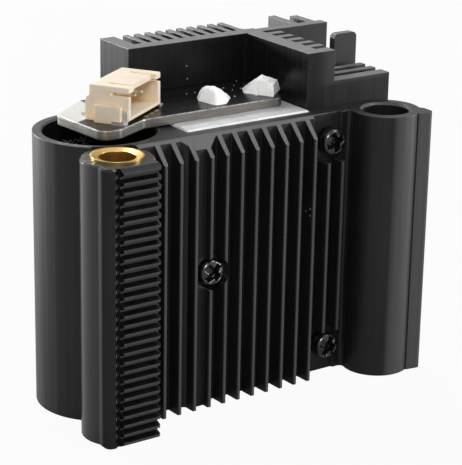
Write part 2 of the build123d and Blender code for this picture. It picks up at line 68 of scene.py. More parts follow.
# A place in millimetres and the distance over which a look fades in there.
Limit = tuple[float, float]
Plan = tuple[float, float]
Paint = Union["Term", Colour]
Sockets = dict[str, Any]

LOG = logging.getLogger("laser_module")
MM = 0.001
HALF = 0.5
WHITE: Colour = (1.0, 1.0, 1.0)

NOISE_ROUGHNESS = 0.55
FEW_SAMPLES = 6
TOP_FACES: Span = (0.8, 0.97)
EDGE_REACH = 0.6
EDGE_TURN: Span = (0.004, 0.12)
EDGE_OPEN: Span = (0.55, 0.8)


class Side(Enum):
    """Which of the two diodes a piece belongs to."""

    LEFT = "left"
    RIGHT = "right"


class Grain(Enum):
    """How a texture is stretched, as the factors on its coordinates along X, Y and Z."""

    EVEN = (1.0, 1.0, 1.0)
    UPRIGHT = (1.0, 1.0, 0.03)
    DRAWN = (1.0, 1.0, 0.002)
    FLOWED = (1.0, 1.0, 0.3)
    TOOLED = (1.0, 1.0, 0.08)
    ALONG_X = (0.04, 1.0, 1.0)
    SAWN = (0.12, 1.0, 1.0)
    LEVEL = (0.08, 0.08, 2.0)


@dataclass(frozen=True)
class Pattern:
    """Noise texture: its features per millimetre, its octaves and its stretch."""

    scale: float
    detail: float = 3.0
    grain: Grain = Grain.EVEN


@dataclass(frozen=True)
class Relief:
    """Bump: the share of it that shows and its depth in millimetres."""

    strength: float
    depth: float


class Term:
    """Value socket in a material's nodes that takes part in Python arithmetic."""

    def __init__(self, graph: "Graph", socket: Optional[bpy.types.NodeSocket]) -> None:
        """Keep the socket, if the node has one, and the graph it belongs to."""
        self.graph = graph
        self.socket = socket

    def __add__(self, other: Number) -> "Term":
        """Sum."""
        return self.graph.maths("ADD", self, other)

    __radd__ = __add__

    def __sub__(self, other: Number) -> "Term":
        """Difference."""
        return self.graph.maths("SUBTRACT", self, other)

    def __rsub__(self, other: Number) -> "Term":
        """Difference with the value on the right."""
        return self.graph.maths("SUBTRACT", other, self)

    def __mul__(self, other: Number) -> "Term":
        """Product."""
        return self.graph.maths("MULTIPLY", self, other)

    __rmul__ = __mul__

    def __pow__(self, other: Number) -> "Term":
        """Power."""
        return self.graph.maths("POWER", self, other)

    def __abs__(self) -> "Term":
        """Absolute value."""
        return self.graph.maths("ABSOLUTE", self)

    def sine(self) -> "Term":
        """Sine of the value in radians."""
        return self.graph.maths("SINE", self)

    def as_share(self) -> "Term":
        """Value from -1 to 1, moved to the span from 0 to 1."""
        return self * HALF + HALF

    def swing(self, amount: float) -> "Term":
        """Value from 0 to 1, turned into a change of half an amount either way."""
        return amount * (self - HALF)

    def at_least(self, low: float) -> "Term":
        """Value from 0 to 1, squeezed into the span from a low value to 1."""
        return low + (1.0 - low) * self

    def blend(self, other: "Term", share: float) -> "Term":
        """Sum of a share of another value and the rest of this one."""
        return self * (1.0 - share) + other * share

    def ramp(self, low: float, high: float) -> "Term":
        """Rise smoothly from 0 at a low value to 1 at a high one."""
        return self.graph.node("ShaderNodeMapRange", {"interpolation_type": "SMOOTHSTEP"},
                               {"Value": self, "From Min": low, "From Max": high})

    def past(self, limit: float, fade: float) -> "Term":
        """Rise smoothly from 0 at a limit to 1 at a distance above it."""
        return (self - limit).ramp(0.0, fade)

    def before(self, limit: float, fade: float) -> "Term":
        """Rise smoothly from 0 at a limit to 1 at a distance below it."""
        return (limit - self).ramp(0.0, fade)


class Graph:
    """Builder of one material's node tree."""

    def __init__(self, tree: bpy.types.NodeTree) -> None:
        """Empty the tree and start with the surface's coordinates in millimetres."""
        self.tree = tree
        tree.nodes.clear()
        self.place = self.node("ShaderNodeVectorMath", {"operation": "SCALE"},
                               {0: self.node("ShaderNodeTexCoord", output="Object"), "Scale": 1.0 / MM})

    def node(self, kind: str, settings: Optional[dict[str, Any]] = None,
             inputs: Optional[dict[Union[int, str], Any]] = None, output: Union[int, str] = 0) -> Term:
        """Add a node.

        Args:
            kind: Blender's name of the node type.
            settings: attributes that are set first.
            inputs: a value, or the term that is linked, for each input socket by name or number.
            output: the output socket that is returned.

        Returns:
            The term of the chosen output.
        """
        made = self.tree.nodes.new(kind)
        for name, value in (settings or {}).items():
            setattr(made, name, value)
        for key, value in (inputs or {}).items():
            if isinstance(value, Term):
                self.tree.links.new(value.socket, made.inputs[key])
            elif isinstance(value, tuple) and len(value) == 3 and made.inputs[key].type == "RGBA":
                made.inputs[key].default_value = (*value, 1.0)
            else:
                made.inputs[key].default_value = value
        return Term(self, made.outputs[output] if made.outputs else None)

    def maths(self, operation: str, *values: Number) -> Term:
        """Math node on one or two values."""
        return self.node("ShaderNodeMath", {"operation": operation}, dict(enumerate(values)))

    def mix(self, factor: Number, first: Paint, second: Paint) -> Term:
        """Blend of two colours by a factor."""
        return self.node("ShaderNodeMix", {"data_type": "RGBA"}, {0: factor, 6: first, 7: second}, 2)

    def layers(self, colour: Paint, *coats: tuple[Term, Paint]) -> Term:
        """Colour with others laid over it.

        Args:
            colour: the lowest colour.
            coats: factor and colour of each coat over it.

        Returns:
            The colour on top.
        """
        for factor, coat in coats:
            colour = self.mix(factor, colour, coat)
        return colour

    def bend(self, factor: Number, first: Term, second: Union[Term, Point]) -> Term:
        """Blend of two vectors by a factor."""
        return self.node("ShaderNodeMix", {"data_type": "VECTOR"}, {0: factor, 4: first, 5: second}, 1)

    def noise(self, pattern: Pattern) -> Term:
        """Noise from 0 to 1 over the surface."""
        stretched = self.node("ShaderNodeVectorMath", {"operation": "MULTIPLY"},
                              {0: self.place, 1: pattern.grain.value})
        return self.node("ShaderNodeTexNoise", {}, {"Vector": stretched, "Scale": pattern.scale,
                                                    "Detail": pattern.detail, "Roughness": NOISE_ROUGHNESS})

    def axes(self, vector: Term) -> tuple[Term, Term, Term]:
        """Three values of a vector."""
        split = self.node("ShaderNodeSeparateXYZ", {}, {0: vector})
        outputs = split.socket.node.outputs
        return tuple(Term(self, outputs[i]) for i in range(3))

    def facing(self) -> tuple[Term, Term, Term]:
        """Values of the surface's normal along X, Y and Z."""
        return self.axes(self.node("ShaderNodeTexCoord", output="Normal"))

    def distance(self, point: Point) -> Term:
        """Distance of the surface from a point in millimetres."""
        return self.node("ShaderNodeVectorMath", {"operation": "DISTANCE"},
                         {0: self.place, 1: point}, "Value")

    def openness(self, reach: float, samples: int = FEW_SAMPLES) -> Term:
        """Share of the surroundings that is open, within a reach in millimetres."""
        return self.node("ShaderNodeAmbientOcclusion", {"samples": samples}, {"Distance": reach * MM}, "AO")

    def soft_edges(self, radius: float) -> Term:
        """Normal that is rounded over the edges by a radius in millimetres."""
        return self.node("ShaderNodeBevel", {"samples": FEW_SAMPLES}, {"Radius": radius * MM})

    def edge_mask(self, rounded: Term) -> Term:
        """Mask of the outer, open edges, which the finishes paint paler as wear and as a painted edge
        highlight.

        Args:
            rounded: the normal that soft_edges gave.

        Returns:
            1 where the rounded normal leaves the face's own normal on an outer edge, otherwise 0.
        """
        own = self.node("ShaderNodeNewGeometry", output="Normal")
        likeness = self.node("ShaderNodeVectorMath", {"operation": "DOT_PRODUCT"},
                             {0: rounded, 1: own}, "Value")
        return (1.0 - likeness).ramp(*EDGE_TURN) * self.openness(EDGE_REACH).ramp(*EDGE_OPEN)

    def bump(self, height: Term, relief: Relief, normal: Optional[Term] = None) -> Term:
        """Normal with a relief.

        Args:
            height: height of the surface from 0 to 1.
            relief: how much of it shows.
            normal: the normal that it starts from, if not the face's own.

        Returns:
            The new normal.
        """
        inputs = {"Strength": relief.strength, "Distance": relief.depth * MM, "Height": height}
        if normal:
            inputs["Normal"] = normal
        return self.node("ShaderNodeBump", {}, inputs)

    def finish(self, shader: Term, output: str = "ShaderNodeOutputMaterial") -> None:
        """Link a shader to an output node."""
        self.node(output, {}, {"Surface": shader})


def scaled(colour: Colour, factor: float) -> Colour:
    """Colour multiplied by a factor."""
    return tuple(factor * value for value in colour)


@dataclass(frozen=True)
class Finish:
    """A material of the module, by its name."""

    name: str

    def surface(self, graph: Graph) -> Sockets:
        """Sockets of the Principled shader, by name."""
        raise NotImplementedError(self.name)

    def material(self) -> bpy.types.Material:
        """Material of this finish, made on its first use.

        Returns:
            The material.
        """
        name = "look_" + self.name
        known = bpy.data.materials.get(name)
        if known:
            return known
        made = bpy.data.materials.new(name)
        made.use_nodes = True
        graph = Graph(made.node_tree)
        graph.finish(graph.node("ShaderNodeBsdfPrincipled", {}, self.surface(graph)))
        return made


@dataclass(frozen=True)
class Anodised(Finish):
    """Black anodised extrusion: satin, with upright die lines, paler sawn ends and bevels, edges painted
    paler as wear and as a painted highlight, and a painted sheen, partly rubbing, on faces that face the
    front.
    """

    dark: Colour = (0.0045, 0.0045, 0.0047)
    light: Colour = (0.0085, 0.0085, 0.0088)
    sawn: Colour = (0.008, 0.008, 0.0083)
    sawn_factor: float = 1.35
    milled: Colour = (0.06, 0.06, 0.061)
    wear_and_glint: Colour = (0.14, 0.14, 0.143)
    rubbed: Colour = (0.054, 0.054, 0.055)
    dusty: Colour = (0.35, 0.35, 0.34)
    speckled: Colour = (0.3, 0.3, 0.29)
    roughness: float = 0.4
    gloss: float = 0.42
    rubbed_sheen_to: Limit = (-0.1, 0.1)
    dull_from: Limit = (100.0, 4.0)
    dull_above: Limit = (51.0, 1.0)
    chamfered_from: Limit = (36.0, 1.0)
    specks: tuple[Point, ...] = ()
    speck_span: Span = (0.06, 0.22)
    edge_radius: float = 0.16
    streaks: Pattern = Pattern(1.3, 4.0, Grain.UPRIGHT)
    lines: Pattern = Pattern(7.0, 2.0, Grain.UPRIGHT)
    bands: Pattern = Pattern(0.8, 3.0, Grain.DRAWN)
    saw: Pattern = Pattern(3.2, 4.0, Grain.SAWN)
    grain: Pattern = Pattern(11.0)
    blotch: Pattern = Pattern(0.12, 4.0)
    wear_and_glint_patches: Pattern = Pattern(1.1, 4.0)
    dust: Pattern = Pattern(4.6, 1.0)
    bevel_faces: Span = (0.3, 0.5)
    front_faces: Span = (0.9, 0.98)
    wear_and_glint_span: Span = (0.3, 0.62)
    dust_span: Span = (0.765, 0.8)
    tone_span: Span = (0.32, 0.68)
    saw_span: Span = (0.3, 0.7)
    least_wear_and_glint: float = 0.3
    least_rubbed_sheen: float = 0.7
    blotch_share: float = 0.4
    dull_share: float = 0.4
    wear_and_glint_share: float = 0.55
    dust_share: float = 0.35
    streak_swing: float = 0.12
    grain_swing: float = 0.1
    end_rougher: float = 0.03
    dull_rougher: float = 0.1
    line_height: float = 0.5
    saw_height: float = 0.6
    fine: Relief = Relief(0.16, 0.05)
    drawn: Relief = Relief(0.4, 0.25)

    def surface(self, graph: Graph) -> Sockets:
        """Sockets of this finish, by name."""
        _, ahead, up = graph.facing()
        x, y, z = graph.axes(graph.place)
        top = up.ramp(*TOP_FACES)
        bevel = up.ramp(*self.bevel_faces) * (1.0 - top) * z.past(*self.chamfered_from)
        streaks = graph.noise(self.streaks)
        saw = graph.noise(self.saw)
        grain = graph.noise(self.grain)
        rounded = graph.soft_edges(self.edge_radius)
        # Pale edges: partly wear, partly a painted edge highlight.
        wear_and_glint_patches = graph.noise(self.wear_and_glint_patches).ramp(*self.wear_and_glint_span).at_least(self.least_wear_and_glint)
        edge = graph.edge_mask(rounded) * wear_and_glint_patches
        dust = graph.noise(self.dust).ramp(*self.dust_span)
        dull = x.past(*self.dull_from)
        tone = streaks.blend(graph.noise(self.blotch), self.blotch_share)
        colour = graph.mix(tone.ramp(*self.tone_span), self.dark, self.light)
        ends = graph.mix(saw.ramp(*self.saw_span), self.sawn, scaled(self.sawn, self.sawn_factor))
        # Faces that face the front: a painted sheen, partly rubbing.
        front = y.before(*self.rubbed_sheen_to) * (0.0 - ahead).ramp(*self.front_faces)
        specks = [(1.0 - graph.distance(speck).ramp(*self.speck_span), self.speckled)
                  for speck in self.specks]
        colour = graph.layers(colour, (dull * z.past(*self.dull_above) * self.dull_share, self.milled),
                              (top, ends), (bevel, self.milled), (edge * self.wear_and_glint_share, self.wear_and_glint),
                              (dust * self.dust_share, self.dusty), *specks,
                              (front * streaks.at_least(self.least_rubbed_sheen), self.rubbed))
        roughness = self.roughness + streaks.swing(self.streak_swing) + grain.swing(self.grain_swing)
        roughness = roughness + self.end_rougher * top + self.dull_rougher * dull
        lines = graph.noise(self.lines) * self.line_height * (1.0 - top)
        height = lines + grain * self.line_height + saw * top * self.saw_height
        drawn = graph.bump(graph.noise(self.bands) * (1.0 - top), self.drawn, rounded)
        return {"Base Color": colour, "Roughness": roughness, "Specular IOR Level": self.gloss,
                "Normal": graph.bump(height, self.fine, drawn)}


@dataclass(frozen=True)
class MouldedBlack(Finish):
    """Moulded black bar: slightly blue, glossier than the extrusions, with soft flow marks, a painted sheen,
    partly rubbing, on the teeth's front crests, and edges painted paler as wear and as a painted highlight,
    most on the teeth.
    """

    dark: Colour = (0.003, 0.003, 0.0033)
    light: Colour = (0.006, 0.0061, 0.0068)
    rubbed: Colour = (0.044, 0.044, 0.045)
    wear_and_glint: Colour = (0.2, 0.2, 0.206)
    roughness: float = 0.18
    gloss: float = 0.42
    coat: float = 0.75
    coat_roughness: float = 0.24
    teeth_from: Limit = (-2.85, 0.1)
    wall_to: Limit = (-3.9, 0.4)
    ridge: Limit = (-3.3, 1.0)
    turned: Point = (-0.35, -0.94, 0.0)
    polished_from: Limit = (-4.2, 0.6)
    edge_radius: float = 0.07
    flow: Pattern = Pattern(0.35, 4.0, Grain.FLOWED)
    grain: Pattern = Pattern(9.0)
    flow_span: Span = (0.3, 0.7)
    sloped_faces: Span = (0.1, 0.3)
    crest_faces: Span = (0.8, 0.95)
    least_rubbed_sheen: float = 0.6
    wear_and_glint_share: float = 0.12
    teeth_wear_and_glint: float = 0.45
    flow_swing: float = 0.14
    grain_swing: float = 0.08
    top_rougher: float = 0.12
    flow_share: float = 0.4
    relief: Relief = Relief(0.1, 0.05)

    def surface(self, graph: Graph) -> Sockets:
        """Sockets of this finish, by name."""
        _, ahead, up = graph.facing()
        x, y, _ = graph.axes(graph.place)
        top = up.ramp(*TOP_FACES)
        flow = graph.noise(self.flow)
        grain = graph.noise(self.grain)
        fine = graph.soft_edges(self.edge_radius)
        teeth = x.past(*self.teeth_from)
        # Pale edges, strongest on the teeth: partly wear, partly a painted edge highlight.
        edge = graph.edge_mask(fine) * (self.wear_and_glint_share + self.teeth_wear_and_glint * teeth)
        wall = x.before(*self.wall_to) * y.before(*self.ridge)
        rounded = graph.bend(wall * (1.0 - up.ramp(*self.sloped_faces)), fine, self.turned)
        polished = y.past(*self.polished_from) * (1.0 - top)
        # Front crests of the teeth: a painted sheen, partly rubbing by the pinion.
        crest_sheen = teeth * (0.0 - ahead).ramp(*self.crest_faces)
        colour = graph.mix(flow.ramp(*self.flow_span), self.dark, self.light)
        rubbed = crest_sheen * grain.at_least(self.least_rubbed_sheen)
        colour = graph.layers(colour, (rubbed, self.rubbed), (edge, self.wear_and_glint))
        roughness = self.roughness + flow.swing(self.flow_swing) + grain.swing(self.grain_swing)
        return {"Base Color": colour, "Roughness": roughness + self.top_rougher * top,
                "Specular IOR Level": self.gloss,
                "Coat Weight": self.coat * polished, "Coat Roughness": self.coat_roughness,
                "Normal": graph.bump(grain.blend(flow, self.flow_share), self.relief, rounded)}


@dataclass(frozen=True)
class TurnedMetal(Finish):
    """Turned metal with fine rings about the guide axis, a tarnish in patches, painted shade on walls that
    don't face up, as in the bore, and a painted olive shade on the outer edge.
    """

    bright: Colour = (0.93, 0.66, 0.25)
    tarnish_and_shade: Colour = (0.42, 0.24, 0.07)
    olive_shade: Colour = (0.3, 0.2, 0.06)
    roughness: float = 0.2
    ring_slope: float = 0.7
    ring_rate: float = 42.0
    olive_shade_from: Limit = (3.9, 0.5)
    edge_radius: float = 0.12
    stain: Pattern = Pattern(0.8, 4.0)
    stain_span: Span = (0.45, 0.75)
    level_faces: Span = (-0.1, 0.3)
    stain_share: float = 0.35
    bore_shade_share: float = 0.45
    olive_shade_share: float = 0.55
    stain_rougher: float = 0.1
    ring_rougher: float = 0.05
    relief: Relief = Relief(0.12, 0.02)

    def surface(self, graph: Graph) -> Sockets:
        """Sockets of this finish, by name."""
        x, y, z = graph.axes(graph.place)
        up = graph.facing()[2]
        across = (x ** 2.0 + y ** 2.0) ** HALF
        rings = ((across * self.ring_slope + z) * self.ring_rate).sine().as_share()
        stain = graph.noise(self.stain)
        # Painted shade on walls that don't face up, as in the bore, laid over the tarnish patches.
        bore = 1.0 - up.ramp(*self.level_faces)
        tarnish_and_shade = stain.ramp(*self.stain_span) * self.stain_share + bore * self.bore_shade_share
        colour = graph.mix(tarnish_and_shade, self.bright, self.tarnish_and_shade)
        # Painted olive shade on the outer edge of the lip.
        colour = graph.mix(across.past(*self.olive_shade_from) * self.olive_shade_share, colour, self.olive_shade)
        roughness = self.roughness + self.stain_rougher * stain + self.ring_rougher * rings
        return {"Base Color": colour, "Metallic": 1.0, "Roughness": roughness,
                "Normal": graph.bump(rings, self.relief, graph.soft_edges(self.edge_radius))}


@dataclass(frozen=True)
class BlackScrew(Finish):
    """Black plated screw: glossy, slightly rubbed, with edges painted paler as wear and as a painted
    highlight.
    """

    black: Colour = (0.003, 0.003, 0.0033)
    rubbed: Colour = (0.012, 0.012, 0.012)
    wear_and_glint: Colour = (0.08, 0.08, 0.08)
    roughness: float = 0.3
    gloss: float = 0.1
    coat_roughness: float = 0.13
    coat_index: float = 1.7
    open_reach: float = 1.2
    open_samples: int = 8
    open_span: Span = (0.45, 0.8)
    edge_radius: float = 0.1
    rub: Pattern = Pattern(2.2, 4.0)
    grain: Pattern = Pattern(14.0, 2.0)
    rub_span: Span = (0.5, 0.75)
    wear_and_glint_share: float = 0.5
    rub_rougher: float = 0.16
    relief: Relief = Relief(0.12, 0.03)

    def surface(self, graph: Graph) -> Sockets:
        """Sockets of this finish, by name."""
        rub = graph.noise(self.rub)
        rounded = graph.soft_edges(self.edge_radius)
        colour = graph.mix(rub.ramp(*self.rub_span), self.black, self.rubbed)
        # Pale edges: partly wear, partly a painted edge highlight.
        colour = graph.mix(graph.edge_mask(rounded) * self.wear_and_glint_share, colour, self.wear_and_glint)
        return {"Base Color": colour, "Roughness": self.roughness + self.rub_rougher * rub,
                "Specular IOR Level": self.gloss, "Coat Roughness": self.coat_roughness,
                "Coat IOR": self.coat_index,
                "Coat Weight": graph.openness(self.open_reach, self.open_samples).ramp(*self.open_span),
                "Normal": graph.bump(graph.noise(self.grain), self.relief, rounded)}


@dataclass(frozen=True)
class BareMetal(Finish):
    """Bare machined metal with fine lines and faint scratches, and edges painted paler as wear and as a
    painted highlight.
    """

    pale: Colour = (0.7, 0.7, 0.705)
    dull: Colour = (0.52, 0.52, 0.525)
    wear_and_glint: Colour = (0.85, 0.85, 0.85)
    metallic: float = 0.45
    roughness: float = 0.5
    edge_radius: float = 0.15
    lines: Pattern = Pattern(5.0, 4.0, Grain.ALONG_X)
    smear: Pattern = Pattern(0.5, 4.0)
    tone_span: Span = (0.35, 0.65)
    smear_share: float = 0.4
    wear_and_glint_share: float = 0.6
    line_swing: float = 0.2
    relief: Relief = Relief(0.2, 0.03)

    def surface(self, graph: Graph) -> Sockets:
        """Sockets of this finish, by name."""
        lines = graph.noise(self.lines)
        rounded = graph.soft_edges(self.edge_radius)
        tone = lines.blend(graph.noise(self.smear), self.smear_share)
        colour = graph.mix(tone.ramp(*self.tone_span), self.dull, self.pale)
        # Pale edges: partly wear, partly a painted edge highlight.
        colour = graph.mix(graph.edge_mask(rounded) * self.wear_and_glint_share, colour, self.wear_and_glint)
        return {"Base Color": colour, "Metallic": self.metallic,
                "Roughness": self.roughness + lines.swing(self.line_swing),
                "Normal": graph.bump(lines, self.relief, rounded)}


@dataclass(frozen=True)
class BoardMask(Finish):
    """Metal-core board: black mask with faint tracks, tinned ground at one end and a grey milled edge, with
    painted shade over most of the edge and a painted highlight, partly a burr, along its top.
    """

    mask: Colour = (0.003, 0.003, 0.0034)
    track: Colour = (0.008, 0.008, 0.0085)
    tinned: Colour = (0.53, 0.53, 0.52)
    core: Colour = (0.37, 0.355, 0.33)
    core_factor: float = 0.45
    shaded: Colour = (0.17, 0.157, 0.14)
    burr_highlight: Colour = (0.66, 0.66, 0.64)
    gloss: float = 0.3
    roughness: float = 0.24
    shaded_from: Limit = (0.8, 2.0)
    burr_highlight_from: Limit = (49.2, 0.2)
    burr_highlight_wave: float = 0.3
    tinned_from: Limit = (13.4, 0.2)
    tinned_slope: float = 0.5
    tinned_wave: float = 0.6
    tinned_to: Limit = (8.0, 0.2)
    track_rate: float = 2.1
    track_bend_rate: float = 0.35
    track_bend: float = 1.4
    edge_radius: float = 0.32
    cloud: Pattern = Pattern(1.2, 4.0)
    streak: Pattern = Pattern(2.4, 4.0, Grain.LEVEL)
    tool: Pattern = Pattern(6.0, 3.0, Grain.TOOLED)
    level_faces: Span = (0.6, 0.8)
    track_span: Span = (0.35, 0.5)
    core_span: Span = (0.32, 0.7)
    cloud_span: Span = (0.4, 0.6)
    tool_share: float = 0.15
    least_shaded: float = 0.35
    tool_shaded: float = 0.5
    least_burr_highlight: float = 0.2
    burr_highlight_share: float = 0.45
    track_share: float = 0.6
    core_metallic: float = 0.85
    tinned_metallic: float = 0.4
    tool_rougher: float = 0.2
    cloud_rougher: float = 0.1
    tinned_rougher: float = 0.32
    relief: Relief = Relief(0.25, 0.03)

    def surface(self, graph: Graph) -> Sockets:
        """Sockets of this finish, by name."""
        x, y, z = graph.axes(graph.place)
        up = abs(graph.facing()[2]).ramp(*self.level_faces)
        side = 1.0 - up
        cloud = graph.noise(self.cloud)
        streak = graph.noise(self.streak)
        tool = graph.noise(self.tool)
        bend = (x * self.track_bend_rate).sine() * self.track_bend
        tracks = (y * self.track_rate + bend).sine().as_share().ramp(*self.track_span)
        shore = y - x * self.tinned_slope + cloud * self.tinned_wave
        pour = shore.past(*self.tinned_from) * x.before(*self.tinned_to) * up
        tone = streak.blend(tool, self.tool_share).ramp(*self.core_span)
        rim = graph.mix(tone, scaled(self.core, self.core_factor), self.core)
        # Painted shade over the rim past its left corner.
        shade = x.past(*self.shaded_from) * (self.least_shaded + self.tool_shaded * tool)
        # Painted highlight along the rim's top edge, partly a pale burr.
        burr_highlight_mask = (z + streak * self.burr_highlight_wave).past(*self.burr_highlight_from)
        burr_highlight_mask = burr_highlight_mask * cloud.ramp(*self.cloud_span).at_least(self.least_burr_highlight)
        rim = graph.layers(rim, (shade, self.shaded), (burr_highlight_mask * self.burr_highlight_share, self.burr_highlight))
        top = graph.layers(self.mask, (tracks * self.track_share, self.track), (pour, self.tinned))
        roughness = (self.roughness + self.tool_rougher * tool) * side
        roughness = roughness + up * (self.roughness + self.cloud_rougher * cloud)
        height = tracks * up + streak * side
        return {"Base Color": graph.mix(up, rim, top), "Roughness": roughness + self.tinned_rougher * pour,
                "Metallic": self.core_metallic * side + self.tinned_metallic * pour,
                "Specular IOR Level": self.gloss,
                "Normal": graph.bump(height, self.relief, graph.soft_edges(self.edge_radius))}


@dataclass(frozen=True)
class Nylon(Finish):
    """Natural cream nylon, painted warmer and darker as shade in the socket's mouth, with a fine moulded
    grain.
    """

    cream: Colour = (0.75, 0.67, 0.545)
    shade: Colour = (0.72, 0.62, 0.5)
    # Painted warm shade for the mouth's hollow.
    mouth: Colour = (0.9, 0.7, 0.38)
    roughness: float = 0.46
    glow: float = 0.25
    glow_radius: Point = (1.2 * MM, 0.9 * MM, 0.5 * MM)
    mouth_shade_reach: float = 3.2
    mouth_shade_span: Span = (0.2, 0.65)
    edge_radius: float = 0.2
    cloud: Pattern = Pattern(0.5)
    grain: Pattern = Pattern(7.0)
    cloud_span: Span = (0.35, 0.7)
    mouth_shade_share: float = 0.85
    grain_swing: float = 0.12
    relief: Relief = Relief(0.12, 0.05)

    def surface(self, graph: Graph) -> Sockets:
        """Sockets of this finish, by name."""
        grain = graph.noise(self.grain)
        # Painted warm shade in hollows, where little is open around a point.
        hollow_shade = (1.0 - graph.openness(self.mouth_shade_reach)).ramp(*self.mouth_shade_span)
        colour = graph.mix(graph.noise(self.cloud).ramp(*self.cloud_span), self.cream, self.shade)
        colour = graph.mix(hollow_shade * self.mouth_shade_share, colour, self.mouth)
        return {"Base Color": colour, "Roughness": self.roughness + grain.swing(self.grain_swing),
                "Subsurface Weight": self.glow, "Subsurface Scale": 1.0,
                "Subsurface Radius": self.glow_radius,
                "Normal": graph.bump(grain, self.relief, graph.soft_edges(self.edge_radius))}


@dataclass(frozen=True)
class Plated(Finish):
    """Tinned or gilt contact metal with a slightly uneven plating."""

    bright: Colour = (0.82, 0.81, 0.79)
    dull: Colour = (0.5, 0.49, 0.47)
    roughness: float = 0.3
    plating: Pattern = Pattern(3.0, 4.0)
    plating_span: Span = (0.35, 0.75)
    plating_rougher: float = 0.2
    relief: Relief = Relief(0.15, 0.04)

    def surface(self, graph: Graph) -> Sockets:
        """Sockets of this finish, by name."""
        plating = graph.noise(self.plating)
        colour = graph.mix(plating.ramp(*self.plating_span), self.bright, self.dull)
        return {"Base Color": colour, "Metallic": 1.0,
                "Roughness": self.roughness + self.plating_rougher * plating,
                "Normal": graph.bump(plating, self.relief)}


@dataclass(frozen=True)
class Sealant(Finish):
    """Matt white silicone sealant with a fine uneven skin."""

    white: Colour = (0.93, 0.93, 0.92)
    grey: Colour = (0.85, 0.85, 0.84)
    roughness: float = 0.6
    cloud: Pattern = Pattern(0.9, 4.0)
    skin: Pattern = Pattern(2.6, 5.0)
    tone_span: Span = (0.42, 0.68)
    lesser_share: float = 0.4
    skin_swing: float = 0.2
    relief: Relief = Relief(0.9, 0.22)

    def surface(self, graph: Graph) -> Sockets:
        """Sockets of this finish, by name."""
        cloud = graph.noise(self.cloud)
        skin = graph.noise(self.skin)
        tone = cloud.blend(skin, self.lesser_share)
        return {"Base Color": graph.mix(tone.ramp(*self.tone_span), self.white, self.grey),
                "Roughness": self.roughness + skin.swing(self.skin_swing),
                "Normal": graph.bump(skin.blend(cloud, self.lesser_share), self.relief)}


@dataclass(frozen=True)
class Glass(Finish):
    """Clear optical glass with a faint coating that varies in gloss."""

    tint: Colour = (0.92, 0.95, 0.97)
    tint_factor: float = 0.96
    index: float = 1.5
    roughness: float = 0.01
    film: Pattern = Pattern(0.6)
    film_rougher: float = 0.03

    def surface(self, graph: Graph) -> Sockets:
        """Sockets of this finish, by name."""
        film = graph.noise(self.film)
        return {"Base Color": graph.mix(film, self.tint, scaled(self.tint, self.tint_factor)),
                "Transmission Weight": 1.0, "IOR": self.index,
                "Roughness": self.roughness + self.film_rougher * film}


@dataclass(frozen=True)
class SoftPad(Finish):
    """Soft grey thermal pad with a fine weave pressed into it."""

    grey: Colour = (0.42, 0.44, 0.47)
    grey_factor: float = 0.85
    roughness: float = 0.62
    weave_rate: float = 9.0
    weave_rougher: float = 0.15
    cloud: Pattern = Pattern(1.0)
    cloud_share: float = 0.5
    relief: Relief = Relief(0.2, 0.05)

    def surface(self, graph: Graph) -> Sockets:
        """Sockets of this finish, by name."""
        x, _, z = graph.axes(graph.place)
        weave = ((x * self.weave_rate).sine() * (z * self.weave_rate).sine()).as_share()
        tone = weave.blend(graph.noise(self.cloud), self.cloud_share)
        return {"Base Color": graph.mix(tone, scaled(self.grey, self.grey_factor), self.grey),
                "Roughness": self.roughness + self.weave_rougher * weave,
                "Normal": graph.bump(weave, self.relief)}


@dataclass(frozen=True)
class Lint(Finish):
    """Pale dust fibre."""

    grey: Colour = (0.8, 0.8, 0.78)
    pale: Colour = (0.95, 0.95, 0.93)
    roughness: float = 0.8
    cloud: Pattern = Pattern(2.0)

    def surface(self, graph: Graph) -> Sockets:
        """Sockets of this finish, by name."""
        return {"Base Color": graph.mix(graph.noise(self.cloud), self.grey, self.pale),
                "Roughness": self.roughness}


CARRIAGE_BLACK = Anodised("carriage_anodised",
                          specks=((38.6, 1.5, 31.1), (38.6, 0.3, 31.8), (38.6, 0.3, 30.6)))
SINK_BLACK = Anodised("sink_anodised", sawn=(0.12, 0.12, 0.122), roughness=0.29, gloss=0.27,
                      drawn=Relief(0.12, 0.25), dull_from=(43.0, 4.0),
                      specks=((28.8, 24.3, 53.0), (29.0, 24.3, 50.7)))
RACK_BLACK = MouldedBlack("rack_plastic")
BRASS = TurnedMetal("bush_brass")
SCREW_BLACK = BlackScrew("screw_steel")
BLOCK_METAL = BareMetal("block_metal")
PAD_GREY = SoftPad("pad_rubber")
BOARD_BLACK = BoardMask("board_mask")
CREAM_NYLON = Nylon("connector_nylon")
TIN = Plated("contact_metal")
SOLDER = Plated("solder", bright=(0.34, 0.34, 0.33), dull=(0.16, 0.16, 0.155), roughness=0.45)
GILT = Plated("diode_can", bright=(0.52, 0.4, 0.18), dull=(0.3, 0.22, 0.09))
OPTIC = Glass("optic_glass")
SILICONE = Sealant("sealant")
FIBRE = Lint("lint")


def dress(finish: Finish, *nodes: str) -> None:
    """Give CAD nodes a finish.

    Args:
        finish: the finish they get.
        nodes: their names.
    """
    for node in nodes:
        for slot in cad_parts[node].material_slots:
            slot.material = finish.material()
        LOG.info("dressed %s in %s", node, finish.name)


